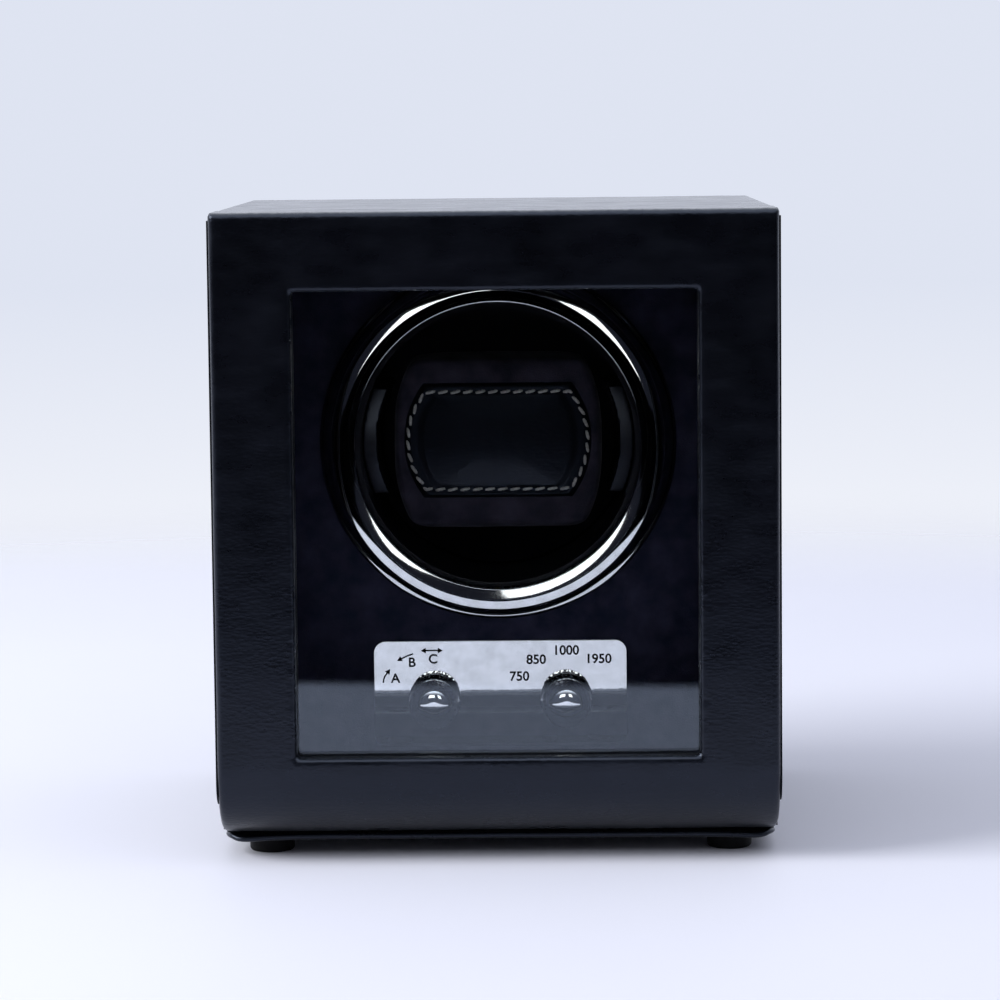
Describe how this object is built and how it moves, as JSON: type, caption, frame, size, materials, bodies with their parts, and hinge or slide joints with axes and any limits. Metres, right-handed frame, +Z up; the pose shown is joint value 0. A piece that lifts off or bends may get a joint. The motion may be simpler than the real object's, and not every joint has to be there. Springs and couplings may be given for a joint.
{
  "type": "watch winder box",
  "caption": "Leather-wrapped single watch winder: hinged glass door, motor-driven drum with a pull-out padded cuff, and chrome plate with mode and turns knobs.",
  "frame": {"origin": "on the floor the feet stand on, under the middle of the box", "axes": "+X to the right seen from the front, +Y to the back (the door faces -Y), +Z up"},
  "size_m": [0.1815, 0.178, 0.208],
  "materials": {
    "black_leather": "fine-grained black leatherette, semi-gloss",
    "leather_strip": "fine-grained black leatherette edge strip",
    "board": "fibreboard, bare",
    "black_suede": "black microfibre suede",
    "patch_leather": "smooth black leather with pale saddle stitching",
    "velvet": "black velvet over board",
    "chrome": "polished chrome",
    "clear_glass": "clear float glass",
    "rubber": "black rubber",
    "steel": "zinc-plated steel",
    "brass": "turned brass",
    "black_plastic": "black moulded ABS, fine texture",
    "gloss_plastic": "gloss black moulded ABS",
    "white_plastic": "natural acetal",
    "green_board": "green solder-mask circuit board",
    "chip_black": "moulded component bodies",
    "foam": "grey polyurethane foam",
    "cable_black": "black PVC cable sheath"
  },
  "bodies": {
    "case": {"case_left_panel": "board", "case_right_panel": "board", "case_top_panel": "board", "case_bottom_panel": "board", "case_leather": "black_leather", "base_board": "black_leather", "rubber_feet": "rubber", "foot_screws": "steel", "lining_sides": "velvet", "lining_floor_and_roof": "velvet", "door_magnets": "steel", "door_bumpers": "rubber", "back_panel": "black_leather", "rear_cover": "black_plastic", "rear_cover_screws": "steel", "power_jack": "black_plastic", "power_jack_nut": "steel", "hinge_case_leaves": "brass", "hinge_pins": "steel", "hinge_case_screws": "brass", "fascia": "velvet", "bezel_ring": "chrome", "control_plate": "chrome", "direction_switch": "black_plastic", "turns_switch": "black_plastic", "circuit_board": "green_board", "circuit_board_fixings": "steel", "circuit_board_parts": "chip_black", "motor_bracket": "steel", "axle_bush": "brass", "bracket_standoffs": "steel", "bracket_screws": "steel", "motor_gearbox": "brass", "motor_can": "steel", "motor_cable": "cable_black", "power_cable": "cable_black"},
    "door": {"door_frame": "black_leather", "door_side_strips": "leather_strip", "door_glass": "clear_glass", "glass_bead": "black_plastic", "door_lining": "velvet", "door_strikers": "steel", "hinge_door_leaves": "brass", "hinge_door_screws": "brass"},
    "drum": {"drum_cup": "gloss_plastic", "cuff_holder": "gloss_plastic", "drum_hub": "white_plastic", "drum_gear": "white_plastic", "drum_screws": "steel", "axle_collar": "steel"},
    "cuff": {"pillow_cover": "black_suede", "pillow_foam": "foam", "pillow_insert": "black_plastic", "pillow_patch": "patch_leather"},
    "motor_output": {"motor_shaft": "steel", "motor_pinion": "brass"},
    "direction_control": {"direction_knob": "chrome", "direction_shaft": "steel"},
    "turns_control": {"turns_knob": "chrome", "turns_shaft": "steel"}
  },
  "joints": [
    {"name": "door_hinge", "type": "hinge", "parent": "case", "child": "door", "pos_m": [-0.0895, -0.0625, 0.1], "axis": [0, 0, -1], "range_deg": [0, 110]},
    {"name": "drum_spin", "type": "hinge", "parent": "case", "child": "drum", "pos_m": [0, 0, 0.1295], "axis": [0, 1, 0], "continuous": true},
    {"name": "motor_spin", "type": "hinge", "parent": "case", "child": "motor_output", "pos_m": [0, 0, 0.08735], "axis": [0, 1, 0], "continuous": true},
    {"name": "cuff_slide", "type": "slide", "parent": "drum", "child": "cuff", "axis": [0, -1, 0], "range_m": [0, 0.03]},
    {"name": "direction_turn", "type": "hinge", "parent": "case", "child": "direction_control", "pos_m": [-0.022, 0, 0.043], "axis": [0, 1, 0], "range_deg": [-60, 0]},
    {"name": "turns_turn", "type": "hinge", "parent": "case", "child": "turns_control", "pos_m": [0.022, 0, 0.043], "axis": [0, 1, 0], "range_deg": [-60, 30]}
  ],
  "couplings": [
    {"joint": "motor_spin", "follows": "drum_spin", "ratio": -6}
  ]
}
